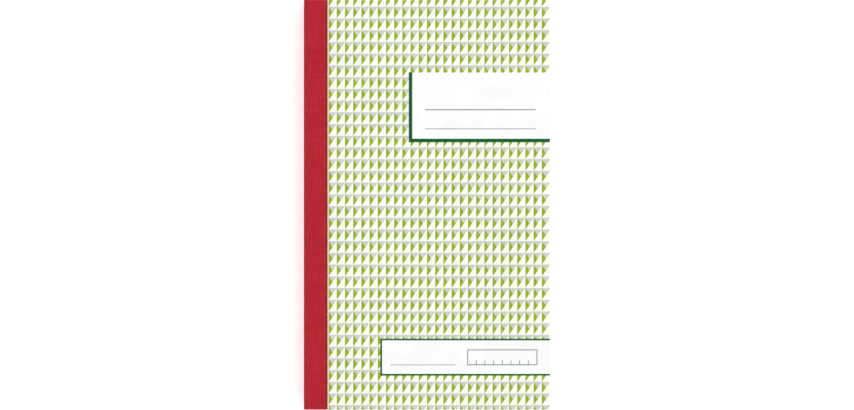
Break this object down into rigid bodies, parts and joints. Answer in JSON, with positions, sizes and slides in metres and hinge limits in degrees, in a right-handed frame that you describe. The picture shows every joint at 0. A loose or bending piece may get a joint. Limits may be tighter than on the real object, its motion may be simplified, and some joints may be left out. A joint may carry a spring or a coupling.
{
  "type": "triplicate order book",
  "caption": "Side-stitched pad of triplicate carbonless sets in a printed card cover with a cloth-taped spine; covers swing, top sets turn at the perforation, a writing card slides out.",
  "frame": {"origin": "middle of the closed book's footprint, on the outer face of the back cover", "axes": "+X from the spine towards the fore edge, +Y towards the head of the cover, +Z out of the front cover"},
  "size_m": [0.105, 0.175, 0.0134],
  "materials": {
    "red_cloth": "matte",
    "printed_card": "satin",
    "grey_board": "matte",
    "writing_card": "matte",
    "stitch_wire": "satin",
    "padding_glue": "satin",
    "pad_paper": "matte",
    "white_paper": "matte",
    "yellow_paper": "matte",
    "pink_paper": "matte"
  },
  "bodies": {
    "bound_pad": {"spine_tape": "red_cloth", "front_cover_binding_strip": "printed_card", "back_cover_binding_strip": "grey_board", "head_staple": "stitch_wire", "tail_staple": "stitch_wire", "spine_glue_film": "padding_glue", "set_01_stub": "pad_paper", "set_02_stub": "pad_paper", "set_03_stub": "pad_paper", "set_04_stub": "pad_paper", "set_05_stub": "pad_paper", "sets_06_to_10": "pad_paper", "sets_11_to_15": "pad_paper", "sets_16_to_20": "pad_paper", "sets_21_to_25": "pad_paper", "sets_26_to_30": "pad_paper", "sets_31_to_35": "pad_paper", "sets_36_to_40": "pad_paper", "sets_41_to_45": "pad_paper", "sets_46_to_50": "pad_paper"},
    "front_cover": {"front_cover_panel": "printed_card"},
    "back_cover": {"back_cover_panel": "grey_board"},
    "writing_card": {"writing_card": "writing_card"},
    "set_01_white": {"set_01_white_leaf": "white_paper"},
    "set_01_yellow": {"set_01_yellow_leaf": "yellow_paper"},
    "set_01_pink": {"set_01_pink_leaf": "pink_paper"},
    "set_02_white": {"set_02_white_leaf": "white_paper"},
    "set_02_yellow": {"set_02_yellow_leaf": "yellow_paper"},
    "set_02_pink": {"set_02_pink_leaf": "pink_paper"},
    "set_03_white": {"set_03_white_leaf": "white_paper"},
    "set_03_yellow": {"set_03_yellow_leaf": "yellow_paper"},
    "set_03_pink": {"set_03_pink_leaf": "pink_paper"},
    "set_04_white": {"set_04_white_leaf": "white_paper"},
    "set_04_yellow": {"set_04_yellow_leaf": "yellow_paper"},
    "set_04_pink": {"set_04_pink_leaf": "pink_paper"},
    "set_05_white": {"set_05_white_leaf": "white_paper"},
    "set_05_yellow": {"set_05_yellow_leaf": "yellow_paper"},
    "set_05_pink": {"set_05_pink_leaf": "pink_paper"}
  },
  "joints": [
    {"name": "front_cover_hinge", "type": "hinge", "parent": "bound_pad", "child": "front_cover", "pos_m": [-0.0424, 0, 0.0135], "axis": [0, -1, 0], "range_deg": [0, 178]},
    {"name": "back_cover_hinge", "type": "hinge", "parent": "bound_pad", "child": "back_cover", "pos_m": [-0.04235, 0, 0], "axis": [0, 1, 0], "range_deg": [0, 178]},
    {"name": "writing_card_slide", "type": "slide", "parent": "bound_pad", "child": "writing_card", "axis": [1, 0, 0], "range_m": [0, 0.095]},
    {"name": "set_01_white_turn", "type": "hinge", "parent": "bound_pad", "child": "set_01_white", "pos_m": [-0.0424, 0, 0.0135], "axis": [0, -1, 0], "range_deg": [0, 171]},
    {"name": "set_01_yellow_turn", "type": "hinge", "parent": "bound_pad", "child": "set_01_yellow", "pos_m": [-0.0424, 0, 0.0135], "axis": [0, -1, 0], "range_deg": [0, 166]},
    {"name": "set_01_pink_turn", "type": "hinge", "parent": "bound_pad", "child": "set_01_pink", "pos_m": [-0.0424, 0, 0.0135], "axis": [0, -1, 0], "range_deg": [0, 158]},
    {"name": "set_02_white_turn", "type": "hinge", "parent": "bound_pad", "child": "set_02_white", "pos_m": [-0.0424, 0, 0.0135], "axis": [0, -1, 0], "range_deg": [0, 148]},
    {"name": "set_02_yellow_turn", "type": "hinge", "parent": "bound_pad", "child": "set_02_yellow", "pos_m": [-0.0424, 0, 0.0135], "axis": [0, -1, 0], "range_deg": [0, 136]},
    {"name": "set_02_pink_turn", "type": "hinge", "parent": "bound_pad", "child": "set_02_pink", "pos_m": [-0.0424, 0, 0.0135], "axis": [0, -1, 0], "range_deg": [0, 122]},
    {"name": "set_03_white_turn", "type": "hinge", "parent": "bound_pad", "child": "set_03_white", "pos_m": [-0.0424, 0, 0.0135], "axis": [0, -1, 0], "range_deg": [0, 107]},
    {"name": "set_03_yellow_turn", "type": "hinge", "parent": "bound_pad", "child": "set_03_yellow", "pos_m": [-0.0424, 0, 0.0135], "axis": [0, -1, 0], "range_deg": [0, 90]},
    {"name": "set_03_pink_turn", "type": "hinge", "parent": "bound_pad", "child": "set_03_pink", "pos_m": [-0.0424, 0, 0.0135], "axis": [0, -1, 0], "range_deg": [0, 74]},
    {"name": "set_04_white_turn", "type": "hinge", "parent": "bound_pad", "child": "set_04_white", "pos_m": [-0.0424, 0, 0.0135], "axis": [0, -1, 0], "range_deg": [0, 59]},
    {"name": "set_04_yellow_turn", "type": "hinge", "parent": "bound_pad", "child": "set_04_yellow", "pos_m": [-0.0424, 0, 0.0135], "axis": [0, -1, 0], "range_deg": [0, 45]},
    {"name": "set_04_pink_turn", "type": "hinge", "parent": "bound_pad", "child": "set_04_pink", "pos_m": [-0.0424, 0, 0.0135], "axis": [0, -1, 0], "range_deg": [0, 33]},
    {"name": "set_05_white_turn", "type": "hinge", "parent": "bound_pad", "child": "set_05_white", "pos_m": [-0.0424, 0, 0.0135], "axis": [0, -1, 0], "range_deg": [0, 23]},
    {"name": "set_05_yellow_turn", "type": "hinge", "parent": "bound_pad", "child": "set_05_yellow", "pos_m": [-0.0424, 0, 0.0135], "axis": [0, -1, 0], "range_deg": [0, 15]},
    {"name": "set_05_pink_turn", "type": "hinge", "parent": "bound_pad", "child": "set_05_pink", "pos_m": [-0.0424, 0, 0.0135], "axis": [0, -1, 0], "range_deg": [0, 10]}
  ],
  "couplings": [
    {"joint": "set_01_white_turn", "follows": "front_cover_hinge", "ratio": 0.951},
    {"joint": "set_01_yellow_turn", "follows": "front_cover_hinge", "ratio": 0.925},
    {"joint": "set_01_pink_turn", "follows": "front_cover_hinge", "ratio": 0.882},
    {"joint": "set_02_white_turn", "follows": "front_cover_hinge", "ratio": 0.825},
    {"joint": "set_02_yellow_turn", "follows": "front_cover_hinge", "ratio": 0.756},
    {"joint": "set_02_pink_turn", "follows": "front_cover_hinge", "ratio": 0.676},
    {"joint": "set_03_white_turn", "follows": "front_cover_hinge", "ratio": 0.59},
    {"joint": "set_03_yellow_turn", "follows": "front_cover_hinge", "ratio": 0.5},
    {"joint": "set_03_pink_turn", "follows": "front_cover_hinge", "ratio": 0.41},
    {"joint": "set_04_white_turn", "follows": "front_cover_hinge", "ratio": 0.324},
    {"joint": "set_04_yellow_turn", "follows": "front_cover_hinge", "ratio": 0.244},
    {"joint": "set_04_pink_turn", "follows": "front_cover_hinge", "ratio": 0.175},
    {"joint": "set_05_white_turn", "follows": "front_cover_hinge", "ratio": 0.118},
    {"joint": "set_05_yellow_turn", "follows": "front_cover_hinge", "ratio": 0.075},
    {"joint": "set_05_pink_turn", "follows": "front_cover_hinge", "ratio": 0.049}
  ]
}
